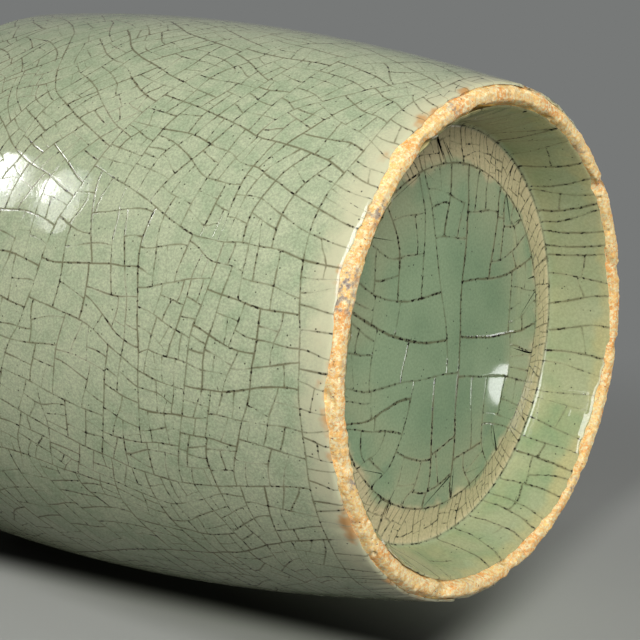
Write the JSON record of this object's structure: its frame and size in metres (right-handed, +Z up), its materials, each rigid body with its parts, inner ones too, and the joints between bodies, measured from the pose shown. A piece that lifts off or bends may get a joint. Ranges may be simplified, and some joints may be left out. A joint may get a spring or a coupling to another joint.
{
  "type": "phoenix-eared vase",
  "caption": "Tall mallet-shaped celadon vase with a dish mouth, a slender neck with phoenix ears, and a recessed base on a bare foot ring.",
  "frame": {"origin": "middle of the foot ring's rest face, where the vase stands", "axes": "+Z up along the axis of revolution, +X through the right ear"},
  "size_m": [0.116, 0.116, 0.2618],
  "materials": {
    "celadon_glaze": "glossy pale grey-green glaze with brown-grey crackle",
    "recess_glaze": "glossy deeper green glaze with wide crackle",
    "bare_clay": "rough, unglazed, orange-buff fired clay"
  },
  "bodies": {
    "root": {"foot_ring": "bare_clay", "floor_disc": "recess_glaze", "barrel": "celadon_glaze", "shoulder": "celadon_glaze", "neck": "celadon_glaze", "dish_mouth": "celadon_glaze", "phoenix_ear_right": "celadon_glaze", "phoenix_ear_left": "celadon_glaze"}
  },
  "joints": []
}
